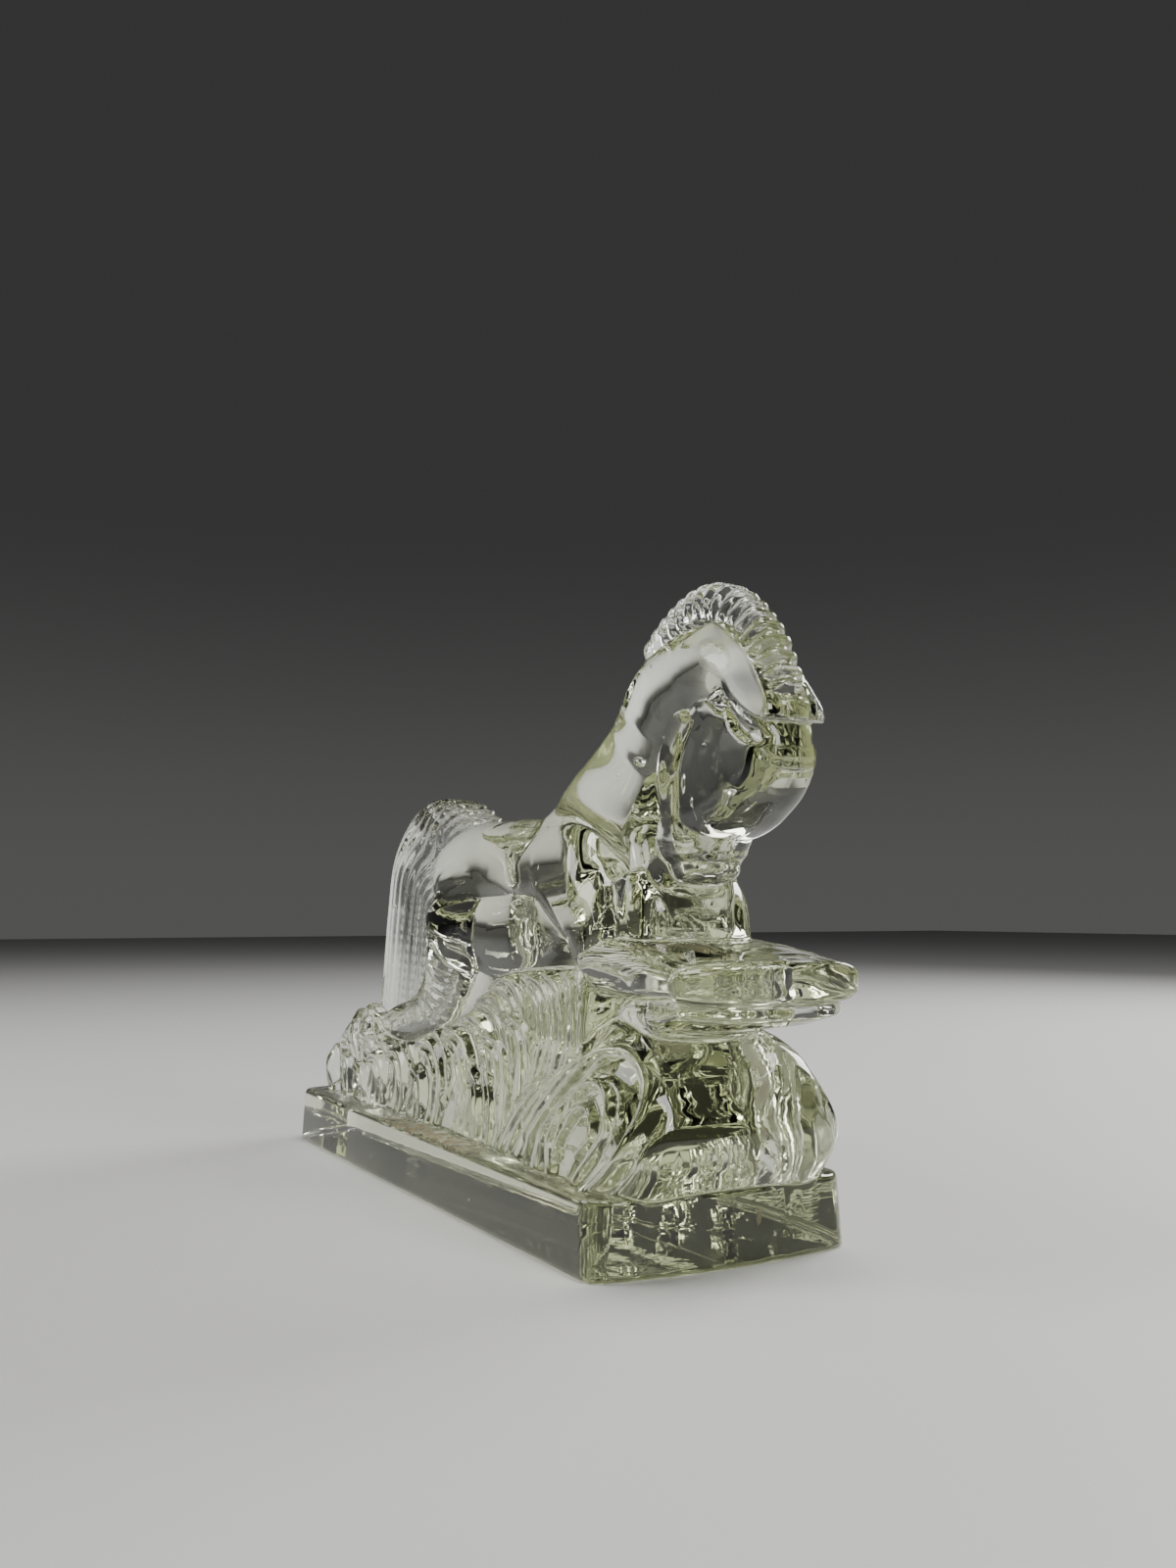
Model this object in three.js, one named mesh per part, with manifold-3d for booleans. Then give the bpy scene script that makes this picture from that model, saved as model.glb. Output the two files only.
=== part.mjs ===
// A clear pressed-glass horse leaping over a curling wave on an oblong plinth, cast as one piece.
// Millimetres, +X to the horse's nose, +Y to its left, +Z up, the origin under the middle of the plinth.
// The glass was pressed in a two-part mould that parts on the plane y = 0, so both sides are alike.
import * as THREE from "three";
import { mergeVertices } from "three/addons/utils/BufferGeometryUtils.js";
import Module from "manifold-3d";

const wasm = await Module();
wasm.setup();

// Plinth.
const PLINTH_LENGTH = 225;
const PLINTH_WIDTH = 76;
const PLINTH_HEIGHT = 18.6;
const PLINTH_DRAFT = 0.5;
const PLINTH_BOW = 4.2;
const FOOT_BEVEL = 1.2;
const RIM_BEVEL = 1;
const FOOT_CORNER = 4.5;
const RIM_CORNER = 6;

// Wave under the horse: a block that rises from the tail end to the belly, with a rounded roll in front.
const WAVE_BASE = PLINTH_HEIGHT - 2;
const WAVE_REAR = -108.5;
const WAVE_HALF_WIDTH = 31;
const WAVE_SHOULDER = 88;
const WAVE_CORNER = 6;
const ROLL_CORNER = 11;
const ROLL_BOW = 2.5;
// Levels of the roll: height, front, half width.
const ROLL_LEVELS = [
  [WAVE_BASE, 114, 33],
  [21, 117, 33.5],
  [26, 121, 33.5],
  [32, 122, 33],
  [39, 120, 31.8],
  [46, 115.5, 29.8],
  [52, 108, 26.5],
  [57, 98, 22],
];

// Scroll on each flank of the roll.
const SCROLL_X = 96;
const SCROLL_Z = 34;
const SCROLL_RADIUS = 16.5;
const SCROLL_STRETCH = 1.4;
const SCROLL_TURNS = 1.9;

// Mane: a thin crest along the neck, cut into upright blocks.
const MANE_BLOCKS = 17;
const MANE_HEIGHT = 10;
const MANE_FOOT = 6.2;
const MANE_TOP = 3;
const MANE_GAP = 0.34;

// Tail: a fluted fan that arches from the rump to the back of the plinth.
const TAIL_FLUTES = 5;
const TAIL_HALF_WIDTH = 6;

// Stations along a form: x and z of its middle line, half depth in the mould plane, half width.
const BODY = [
  [-38, 91, 9, 12],
  [-30, 90, 16, 19],
  [-15, 89, 23, 23.5],
  [12, 88.5, 24.5, 24.5],
  [42, 88.5, 24.5, 24.2],
  [68, 89, 23, 24],
  [88, 88, 18, 20],
  [99, 87, 11, 14],
];
const NECK = [
  [54, 94, 29, 19],
  [65, 109.5, 22.5, 17],
  [75, 119.5, 17.5, 15],
  [85, 128.5, 15.5, 13.8],
  [94, 136.8, 15.5, 13.5],
  [101, 141.5, 14.2, 13],
  [109, 144.5, 12.5, 12],
  [122, 142, 11.5, 11],
  [132, 135, 10, 10],
];
const HEAD = [
  [134.5, 137, 9.5, 9],
  [127.5, 127, 18, 12],
  [118.8, 118.5, 19.5, 12.3],
  [110, 110, 14.5, 11],
  [104.5, 103, 10.5, 9.6],
  [101, 98, 7, 7.5],
];
const SHOULDER = [
  [76, 98, 12, 8],
  [82, 87, 16, 11],
  [90, 76, 13, 12],
];
const CHEST = [
  [91, 100, 10, 11.5],
  [94.5, 90, 10.5, 14],
  [97, 78, 9.5, 16],
];
const THROAT = [
  [100, 134, 14, 9],
  [96, 122, 12, 10],
  [92, 106, 12, 11],
];
const FOREARM = [
  [86, 71, 10, 23.5],
  [98, 69.5, 11, 24.5],
  [114, 67.5, 10.5, 25.5],
  [125, 67, 8.5, 25.5],
  [132.5, 67, 6.5, 24.5],
];
const FORE_HOOF = [
  [122, 62, 5, 9],
  [106, 58, 5.5, 9],
  [92, 57, 5.5, 9],
];
const THIGH = [
  [-6, 97, 16, 8],
  [-4, 85, 23, 11],
  [-6, 71, 18, 10.5],
  [-10, 59, 11.5, 9],
  [-23, 51, 7, 8],
  [-42, 47, 5, 7],
  [-58, 45.5, 5, 7],
];

// Superellipse ring in the plane across a middle line.
function ring(centre, normal, depth, width, { sides, power = 2, turn = 0.5 }) {
  const points = [];
  for (let i = 0; i < sides; i += 1) {
    const angle = ((i + turn) / sides) * 2 * Math.PI;
    const c = Math.cos(angle);
    const s = Math.sin(angle);
    const up = depth * Math.sign(c) * Math.abs(c) ** (2 / power);
    const out = width * Math.sign(s) * Math.abs(s) ** (2 / power);
    const point = centre.clone().addScaledVector(normal, up);
    point.y += out;
    points.push(point);
  }
  return points;
}

// Closed skin over rings of equal length, with a fan over each end.
function skin(rings) {
  const sides = rings[0].length;
  const points = rings.flat();
  const middle = (list) => list
    .reduce((sum, p) => sum.add(p), new THREE.Vector3())
    .divideScalar(list.length);
  points.push(middle(rings[0]), middle(rings[rings.length - 1]));
  const faces = [];
  for (let r = 0; r + 1 < rings.length; r += 1) {
    for (let i = 0; i < sides; i += 1) {
      const a = r * sides + i;
      const b = r * sides + ((i + 1) % sides);
      faces.push(a, b, b + sides, a, b + sides, a + sides);
    }
  }
  const last = (rings.length - 1) * sides;
  for (let i = 0; i < sides; i += 1) {
    const j = (i + 1) % sides;
    faces.push(points.length - 2, j, i);
    faces.push(points.length - 1, last + i, last + j);
  }
  return closedGeometry(points, faces);
}

// Geometry from points and faces, turned so that the faces point outwards.
function closedGeometry(points, faces) {
  let volume = 0;
  for (let i = 0; i < faces.length; i += 3) {
    const [a, b, c] = [points[faces[i]], points[faces[i + 1]], points[faces[i + 2]]];
    volume += a.dot(b.clone().cross(c));
  }
  if (volume < 0) faces.reverse();
  const geometry = new THREE.BufferGeometry();
  geometry.setFromPoints(points);
  geometry.setIndex(faces);
  return geometry;
}

function solid(geometry) {
  const bare = geometry.clone();
  bare.deleteAttribute("normal");
  bare.deleteAttribute("uv");
  const merged = mergeVertices(bare, 1e-4);
  return new wasm.Manifold(
    new wasm.Mesh({
      numProp: 3,
      vertProperties: merged.attributes.position.array,
      triVerts: new Uint32Array(merged.index.array),
    }),
  );
}

// Form swept along stations [x, z, depth, width], at the side offset y, with rounded ends.
function sweep(stations, options) {
  return solid(sweptSkin(stations, options));
}

function sweptSkin(stations, { steps, y = 0, ends = true, ...section }) {
  const line = new THREE.CatmullRomCurve3(
    stations.map(([x, z]) => new THREE.Vector3(x, y, z)),
    false,
    "centripetal",
  );
  const sizes = new THREE.CatmullRomCurve3(
    stations.map(([, , depth, width]) => new THREE.Vector3(depth, width, 0)),
    false,
    "centripetal",
  );
  const rings = [];
  const place = (t, shrink, push) => {
    const tangent = line.getTangent(t);
    const normal = new THREE.Vector3(-tangent.z, 0, tangent.x);
    const size = sizes.getPoint(t);
    const centre = line.getPoint(t).addScaledVector(tangent, push * Math.min(size.x, size.y));
    rings.push(ring(centre, normal, size.x * shrink, size.y * shrink, section));
  };
  if (ends) {
    place(0, 0.45, -0.62);
    place(0, 0.8, -0.42);
  }
  for (let i = 0; i <= steps; i += 1) place(i / steps, 1, 0);
  if (ends) {
    place(1, 0.8, 0.42);
    place(1, 0.45, 0.62);
  }
  return skin(rings);
}

function bothSides(make) {
  return [make(-1), make(1)];
}

// Plan at one level: bowed ends at x = rear and x = front, rounded corners.
function plan({ rear, front, half, bow = 0, rearCorner, frontCorner, z }) {
  const points = [];
  const bowAt = (y) => bow * (1 - (y / half) ** 2);
  const end = (x, outwards, corner) => {
    const reach = half - corner;
    const row = [];
    for (let i = 0; i <= 3; i += 1) {
      const a = (i / 3) * (Math.PI / 2);
      row.push([-reach - corner * Math.cos(a), -corner * (1 - Math.sin(a))]);
    }
    for (let i = 1; i <= 3; i += 1) row.push([reach * (i / 2 - 1), 0]);
    for (let i = 0; i <= 3; i += 1) {
      const a = (i / 3) * (Math.PI / 2);
      row.push([reach + corner * Math.sin(a), -corner * (1 - Math.cos(a))]);
    }
    for (const [y, back] of row) {
      points.push(new THREE.Vector3(x + outwards * (back + bowAt(y)), outwards * y, z));
    }
  };
  end(front, 1, frontCorner);
  end(rear, -1, rearCorner);
  return points;
}

function plinth() {
  const level = (inset, corner, z) => plan({
    rear: -PLINTH_LENGTH / 2 + inset,
    front: PLINTH_LENGTH / 2 - inset,
    half: PLINTH_WIDTH / 2 - inset,
    bow: PLINTH_BOW,
    rearCorner: corner,
    frontCorner: corner,
    z,
  });
  return solid(skin([
    level(FOOT_BEVEL, FOOT_CORNER, 0),
    level(0, FOOT_CORNER, FOOT_BEVEL),
    level(PLINTH_DRAFT, RIM_CORNER, PLINTH_HEIGHT - RIM_BEVEL),
    level(PLINTH_DRAFT + RIM_BEVEL, RIM_CORNER, PLINTH_HEIGHT),
  ]));
}

// Side outline carried across the mould plane with rounded edges.
function slab(outline, halfWidth, bevel) {
  const line = new THREE.SplineCurve(outline.map(([x, z]) => new THREE.Vector2(x, z)));
  const geometry = new THREE.ExtrudeGeometry(new THREE.Shape(line.getPoints(outline.length * 2)), {
    depth: 2 * (halfWidth - bevel),
    bevelThickness: bevel,
    bevelSize: bevel,
    bevelOffset: -bevel,
    bevelSegments: 2,
  });
  geometry.rotateX(Math.PI / 2);
  geometry.translate(0, halfWidth - bevel, 0);
  return solid(geometry);
}

const WAVE_OUTLINE = [
  [-104, WAVE_BASE],
  [-108.5, 24],
  [-106, 34],
  [-94, 42],
  [-74, 45],
  [-40, 44.5],
  [-20, 47],
  [-4, 52],
  [12, 58],
  [30, 64.5],
  [50, 69],
  [70, 71],
  [84, 70.5],
  [WAVE_SHOULDER, 64],
  [WAVE_SHOULDER, 40],
  [WAVE_SHOULDER, WAVE_BASE],
];

function wave() {
  const level = (z, half) => plan({
    rear: WAVE_REAR,
    front: WAVE_SHOULDER,
    half,
    rearCorner: WAVE_CORNER,
    frontCorner: 4,
    z,
  });
  const tapered = solid(skin([level(WAVE_BASE, WAVE_HALF_WIDTH), level(80, WAVE_HALF_WIDTH - 5)]));
  return slab(WAVE_OUTLINE, WAVE_HALF_WIDTH + 2, 3).intersect(tapered);
}

function roll() {
  return solid(skin(ROLL_LEVELS.map(([z, front, half]) => plan({
    rear: 60,
    front: front - ROLL_BOW,
    half,
    bow: ROLL_BOW,
    rearCorner: 2,
    frontCorner: Math.min(ROLL_CORNER, half - 8),
    z,
  }))));
}

// Half width of the wave's flank at a point, with the roll's rounded front corner.
function flank(x, z) {
  const i = Math.max(1, ROLL_LEVELS.findIndex(([level]) => level > z));
  const [z0, front0, half0] = ROLL_LEVELS[i - 1];
  const [z1, front1, half1] = ROLL_LEVELS[i];
  const share = THREE.MathUtils.clamp((z - z0) / (z1 - z0), 0, 1);
  const front = THREE.MathUtils.lerp(front0, front1, share);
  const half = THREE.MathUtils.lerp(half0, half1, share);
  const past = THREE.MathUtils.clamp(x - (front - ROLL_CORNER), 0, ROLL_CORNER);
  const rolled = half - ROLL_CORNER + Math.sqrt(ROLL_CORNER ** 2 - past ** 2);
  const plain = WAVE_HALF_WIDTH - (5 * (z - WAVE_BASE)) / (80 - WAVE_BASE);
  return x < WAVE_SHOULDER - 20 ? plain : Math.max(rolled, x < WAVE_SHOULDER ? plain : 0);
}

// Moves a form drawn on y = 0 out to the flank on one side.
function onFlank(geometry, side) {
  const place = geometry.attributes.position;
  for (let i = 0; i < place.count; i += 1) {
    const [x, z] = [place.getX(i), place.getZ(i)];
    place.setY(i, side * (place.getY(i) + flank(x, z)));
  }
  if (side < 0) geometry.index.array.reverse();
  return solid(geometry);
}

// Raised curl on a flank, swept through points [x, z] and thickest past its middle.
function curl(points, thick, side, steps = 4) {
  const stations = points.map(([x, z], i) => {
    const share = i / (points.length - 1);
    const size = thick * (0.45 + 0.75 * Math.sin(Math.PI * (0.15 + 0.7 * share)));
    return [x, z, size, size];
  });
  return onFlank(sweptSkin(stations, { steps, sides: 4, turn: 0, y: -0.6, ends: false }), side);
}

function scroll(side) {
  const stations = [];
  for (let i = 0; i <= 16; i += 1) {
    const share = i / 16;
    const angle = -2.4 + share * SCROLL_TURNS * 2 * Math.PI;
    const radius = SCROLL_RADIUS * (1 - 0.78 * share);
    stations.push([
      SCROLL_X + SCROLL_STRETCH * radius * Math.cos(angle),
      SCROLL_Z + radius * Math.sin(angle),
      1.8,
      2.2,
    ]);
  }
  return onFlank(sweptSkin(stations, { steps: 22, sides: 4, turn: 0, y: -0.4, ends: false }), side);
}

function plumes(side) {
  const made = [];
  for (let i = 0; i < 9; i += 1) {
    const x = -97 + i * 14;
    const top = 36 + Math.max(0, i - 3) * 2;
    made.push(curl([[x + 5, 18], [x + 5, 27], [x + 2, top - 2], [x - 5, top + 1]], 2.6, side));
  }
  for (let i = 0; i < 4; i += 1) {
    const x = 6 + i * 11;
    const z = 46 + i * 4;
    made.push(curl([[x + 6, z - 12], [x + 5, z - 3], [x, z + 4], [x - 6, z + 5]], 2.4, side));
  }
  for (let i = 0; i < 5; i += 1) {
    const x = 54 + i * 7.5;
    made.push(curl([[x - 5, 44], [x - 1, 56], [x, 68]], 2, side, 3));
  }
  for (let i = 0; i < 5; i += 1) {
    const x = 34 + i * 8;
    const reach = 1 - i / 8;
    made.push(curl([
      [x, 18],
      [x + 9 * reach, 31],
      [x + 24 * reach, 43],
      [x + 46 * reach, 52],
    ], 2.4, side));
  }
  return made;
}

// Mane line on the mould plane, from the withers side over the poll to the forelock.
const MANE_LINE = new THREE.CatmullRomCurve3(
  [
    [82.5, 152],
    [90, 156.6],
    [98, 160.3],
    [107, 162.4],
    [115, 161.6],
    [122, 157.8],
    [129, 151],
    [134, 143.5],
    [137.6, 134.5],
  ]
    .map(([x, z]) => new THREE.Vector3(x, 0, z)),
);

// Rectangle across the mane at one height above its line.
function maneRing(centre, along, length, halfWidth, height) {
  const up = new THREE.Vector3(-along.z, 0, along.x);
  const middle = centre.clone().addScaledVector(up, height);
  return [[-1, -1], [1, -1], [1, 1], [-1, 1]].map(([u, v]) => {
    const corner = middle.clone().addScaledVector(along, (u * length) / 2);
    corner.y = v * halfWidth;
    return corner;
  });
}

function mane() {
  const core = MANE_LINE.getPoints(12).map((p) => [p.x, p.z, MANE_HEIGHT * 0.36, MANE_FOOT - 1.6]);
  const made = [sweep(core, { steps: 9, sides: 6, power: 2.6, ends: false })];
  const pitch = MANE_LINE.getLength() / MANE_BLOCKS;
  for (let i = 0; i < MANE_BLOCKS; i += 1) {
    const t = (i + 0.5) / MANE_BLOCKS;
    const size = 1 - 0.3 * Math.abs(2 * t - 1) ** 3;
    const at = [MANE_LINE.getPointAt(t), MANE_LINE.getTangentAt(t), pitch * (1 - MANE_GAP)];
    const reach = (MANE_HEIGHT / 2) * size;
    made.push(solid(skin([
      maneRing(...at, MANE_FOOT, -reach),
      maneRing(...at, MANE_FOOT * 0.92, 0.35 * reach),
      maneRing(...at, MANE_TOP, reach),
    ])));
  }
  return made;
}

// Tail: nested flutes round a hub behind the rump, on a thin web.
function tail() {
  const made = [];
  const outer = [
    [-20, 111],
    [-34, 120],
    [-58, 124.5],
    [-83, 119],
    [-98.5, 105],
    [-104.5, 85],
    [-107, 66],
    [-108.5, 50],
    [-108.5, 38],
  ];
  const hub = [-50, 98];
  const foot = [-70, 44];
  made.push(slab(
    [...outer, foot, [-44, 47], [-24, 58], [-20, 84]],
    TAIL_HALF_WIDTH,
    2.5,
  ));
  for (let k = 0; k < TAIL_FLUTES; k += 1) {
    const share = k / TAIL_FLUTES;
    const stations = outer.map(([x, z], i) => {
      const low = i > 4;
      const towards = low ? [foot[0], z] : hub;
      const pull = low ? 0.8 * share : 0.9 * share;
      const size = (4.4 - 1.8 * share) * (i === 0 ? 0.6 : 1);
      return [x + (towards[0] - x) * pull, z + (towards[1] - z) * pull, size, TAIL_HALF_WIDTH + 1.6];
    });
    made.push(sweep(stations, { steps: 9, sides: 6, ends: false }));
  }
  return made;
}

function ears(side) {
  return sweep([[141, 130, 3.5, 3.5], [136, 134, 4.5, 4], [124, 142, 2, 2]], {
    steps: 3,
    sides: 6,
    y: side * 7.2,
  });
}

function horse() {
  return [
    sweep(BODY, { steps: 10, sides: 16, power: 2.2 }),
    sweep(NECK, { steps: 8, sides: 14 }),
    sweep(HEAD, { steps: 6, sides: 14, power: 2.2 }),
    sweep(THROAT, { steps: 3, sides: 10, power: 3 }),
    sweep(CHEST, { steps: 4, sides: 12 }),
    ...bothSides((side) => sweep(SHOULDER, { steps: 4, sides: 10, y: side * 12 })),
    sweep(FOREARM, { steps: 5, sides: 16, power: 4 }),
    ...bothSides((side) => sweep(FORE_HOOF, { steps: 3, sides: 8, power: 2.6, y: side * 14.5 })),
    ...bothSides((side) => sweep(THIGH, { steps: 8, sides: 10, y: side * 17 })),
    ...bothSides(ears),
  ];
}

const pieces = [
  plinth(),
  wave(),
  roll(),
  ...bothSides(scroll),
  ...bothSides(plumes).flat(),
  ...horse(),
  ...mane(),
  ...tail(),
];
const whole = pieces.slice(1).reduce((sum, piece) => sum.add(piece), pieces[0]);
const mesh = whole.getMesh();
const geometry = new THREE.BufferGeometry();
geometry.setAttribute("position", new THREE.BufferAttribute(mesh.vertProperties, 3));
geometry.setIndex(new THREE.BufferAttribute(mesh.triVerts, 1));
geometry.computeVertexNormals();

const glass = new THREE.MeshStandardMaterial({ color: 0xdfe6cf, roughness: 0.08, metalness: 0 });
const figurine = new THREE.Mesh(geometry, glass);
figurine.name = "horse_figurine";

const group = new THREE.Group();
group.add(figurine);
export default group;
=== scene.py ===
"""A clear pressed-glass horse leaping over a curling wave, one casting with its plinth, on a plain stage.

The casting is worked out as distances to its rounded forms on a fine grid, the forms are run together as
pressed glass runs them, and the skin of the result is the piece that shows. Forms are given in millimetres.
"""
import math

import bmesh
import bpy
import numpy as np
from mathutils import Matrix, Vector


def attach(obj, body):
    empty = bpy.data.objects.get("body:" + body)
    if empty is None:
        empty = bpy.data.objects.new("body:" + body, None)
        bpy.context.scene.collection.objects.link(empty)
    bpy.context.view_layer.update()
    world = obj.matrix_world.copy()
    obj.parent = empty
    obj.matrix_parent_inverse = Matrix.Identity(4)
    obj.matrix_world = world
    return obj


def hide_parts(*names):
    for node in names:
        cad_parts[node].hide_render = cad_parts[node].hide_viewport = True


bl_info = {
    "name": "Pressed glass horse",
    "version": (1, 0, 0),
    "blender": (4, 5, 0),
    "location": "View3D > Sidebar > Glass horse",
    "description": "Builds the clear glass horse, its wave and plinth, and the stage around it",
    "category": "Object",
}

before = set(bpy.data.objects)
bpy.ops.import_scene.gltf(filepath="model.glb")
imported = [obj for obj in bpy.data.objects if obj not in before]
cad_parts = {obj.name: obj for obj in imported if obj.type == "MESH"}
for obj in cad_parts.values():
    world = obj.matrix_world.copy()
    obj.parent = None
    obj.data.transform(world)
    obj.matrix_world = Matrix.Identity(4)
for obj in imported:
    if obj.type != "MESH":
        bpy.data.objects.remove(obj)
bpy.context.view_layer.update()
MM = 0.001
BODY = "root"
NODE = "horse_figurine"

# Grid that the glass is worked out on: cell, room round the casting, reach to the front and the top, distance
# where no form is near, and the room round a form that is added or cut. Then the limits of its mesh.
CELL = 0.62
MARGIN = 4.0
FRONT = 146
TOP = 168
FAR = 30.0
ADD_ROOM = 5
CUT_ROOM = 3
MOST_TRIANGLES = 186000
FEWEST_POINTS = 1000

# Points along the smooth line of a swept form, and its rounded end as a share of its thickness.
SWEPT_STEPS = 26
SWEPT_END = 0.62

# Plinth: length and width at its foot, height, draft of a side, bow of an end, rounding of the corners at
# foot and rim, rounding of the edges.
PLINTH_LENGTH = 225
PLINTH_WIDTH = 76
PLINTH_HEIGHT = 18.6
PLINTH_DRAFT = 0.5
PLINTH_BOW = 4.2
FOOT_CORNER = 4.5
RIM_CORNER = 6
EDGE = 1.3

# Wave: height of its foot, half width there, half width lost per millimetre of height, rounding, then its
# side outline and the plain core inside it.
WAVE_FOOT = 16.6
WAVE_HALF_WIDTH = 30.8
WAVE_TAPER = 0.075
WAVE_ROUND = 2.0
WAVE_OUTLINE = [(-104, 8), (-107.5, 22), (-106, 30), (-100, 37), (-88, 43.5), (-75, 48), (-65, 48),
                (-56, 42.5), (-46, 40.5), (-25, 43.5), (-3, 49.5), (12, 54.5), (24, 60.5), (33, 65.5),
                (48, 68), (75, 69.5), (88, 70.5), (90, 62), (88, 40), (88, 8)]
WAVE_CORE = [(-26, 30), (-26, 46), (-12, 60), (4, 74), (60, 78), (84, 72), (84, 30)]
WAVE_CORE_HALF = 21.5
# Relief as a share of its height: the bare flank, the scroll's dish, and the roll beyond the scroll.
FLANK_LIFT = 0.12
DISH_LIFT = 0.15
BEYOND_LIFT = 0.85
# Share of a tuft's lift that all of it has, that its dome adds and that its strands add.
TUFT_LIFT = (0.08, 0.47, 0.45)
# Width of a tuft at each point of its line, as a share, for lines of five points and of four.
TUFT_SWELL = {5: [0.92, 1.0, 0.98, 0.8, 0.42], 4: [0.9, 1.0, 0.86, 0.4]}
# Tufts of the wave's flank, each lying over those before it: middle line from foot to tip, half width,
# strands, height.
TUFTS = [
    ([(86, 38), (88.5, 50), (88.5, 60), (87, 66), (84, 70)], 2.6, 1, 1.0),
    ([(80, 38), (82.5, 50), (82, 60), (80, 65), (76, 68.5)], 3.4, 2, 0.85),
    ([(72, 36), (76, 49), (75.5, 58), (72, 64), (64, 67)], 4.4, 2, 0.95),
    ([(62, 32), (68, 45), (68.5, 55), (64, 62.5), (53, 66)], 5.2, 3, 0.95),
    ([(54, 36), (55.5, 50), (52, 58.5), (44, 63.5), (32, 63.5)], 5.0, 2, 1.0),
    ([(44, 34), (46, 45), (43, 53), (35, 58), (23, 58)], 5.0, 2, 1.0),
    ([(50, 18), (57, 32), (58.5, 43), (55, 51.5), (45, 55)], 4.8, 2, 1.0),
    ([(30, 30), (33, 40), (30, 47.5), (23, 52), (12, 51.5)], 4.6, 2, 1.0),
    ([(38, 16), (43, 29), (44.5, 38), (40, 46), (29, 48)], 5.0, 2, 1.0),
    ([(2, 28), (2, 38), (-2, 43.5), (-8, 46.5), (-16, 47)], 3.2, 2, 0.8),
    ([(13, 15), (18.5, 28), (18.5, 36.5), (13, 44), (1, 47)], 6.6, 3, 1.0),
    ([(-28, 24), (-24, 34), (-29, 40), (-36, 42.5), (-44, 42)], 3.6, 2, 0.8),
    ([(-9, 15), (-2.5, 27), (-2, 35), (-8.5, 41.5), (-21, 42)], 5.4, 2, 1.0),
    ([(-46, 24), (-43, 33), (-47, 38.5), (-54, 41), (-62, 40.5)], 3.6, 2, 0.8),
    ([(-64, 22), (-61, 31), (-65, 37), (-73, 40), (-82, 39)], 4.0, 2, 0.85),
    ([(-82, 24), (-79, 32), (-83, 37.5), (-90, 40), (-98, 38)], 3.8, 2, 0.85),
    ([(24, 15), (28.5, 26), (28, 33), (21.5, 39.5)], 3.4, 2, 1.0),
    ([(33, 15), (37.5, 26), (37.5, 33), (31, 41)], 3.6, 2, 1.0),
    ([(-21, 15), (-15.5, 25), (-16.5, 31), (-25, 35)], 4.0, 2, 1.0),
    ([(-38, 15), (-32, 25), (-32.5, 32), (-37.5, 36.5), (-47, 36)], 5.0, 2, 1.0),
    ([(-56, 15), (-51, 24), (-52, 30), (-57.5, 33.5), (-66, 32.5)], 4.8, 2, 1.0),
    ([(-73, 15), (-69, 22), (-70.5, 27), (-79, 31)], 4.0, 2, 1.0),
    ([(-89, 15), (-85, 23), (-86.5, 29), (-95, 33)], 4.2, 2, 1.0),
    ([(43.5, 15), (52.5, 25), (61.5, 32.5), (68, 37.5), (76, 42)], 4.2, 2, 1.0),
    ([(51.5, 15), (62, 26), (72.5, 35), (81, 41.5), (89.5, 47.5)], 3.4, 1, 0.9),
    ([(60, 15), (70, 28), (79, 36.5), (86.5, 43.5), (94, 49.5)], 3.6, 2, 1.0),
    ([(69, 15), (77.5, 27), (85, 35), (90, 39.5)], 3.0, 1, 0.95),
    ([(79.5, 14), (82, 25), (85.5, 33), (89, 38.5)], 2.8, 1, 1.0),
]
# Scroll: its middle and the radii where the roll begins, the dish between its rings, then each ring's line,
# half width and height.
SCROLL_MIDDLE = (101, 36)
SCROLL_RIM = (17.5, 20)
SCROLL_DISH = [(99, 35, 9.5, 0), (103, 38, 9.5, 0), (105, 40, 8, 0)]
SCROLL_RINGS = [
    ([(92, 48), (97, 51.5), (104, 52.5), (111, 50), (116, 45), (118, 38), (116, 30), (110, 24), (101, 18.5),
      (93, 14)], 2.5, 1.0),
    ([(102, 56.5), (110, 55), (118, 50), (123, 42), (123, 33), (118, 25), (110, 18), (104, 14)], 2.2, 0.85),
    ([(85, 24), (88, 33), (91.5, 39.5), (97, 43.5), (103, 43.5), (107.5, 40), (108, 34), (104, 28), (97, 22),
      (90, 15)], 1.9, 0.85),
    ([(86, 27), (90, 33), (94, 37), (98.5, 37.5), (101.5, 34.5), (100.5, 30), (96, 26)], 1.6, 0.8),
    ([(88, 17), (94, 24), (99, 30)], 1.3, 0.6),
    ([(104, 45.5), (110, 42), (112, 36)], 0.8, 0.5),
]
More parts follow.
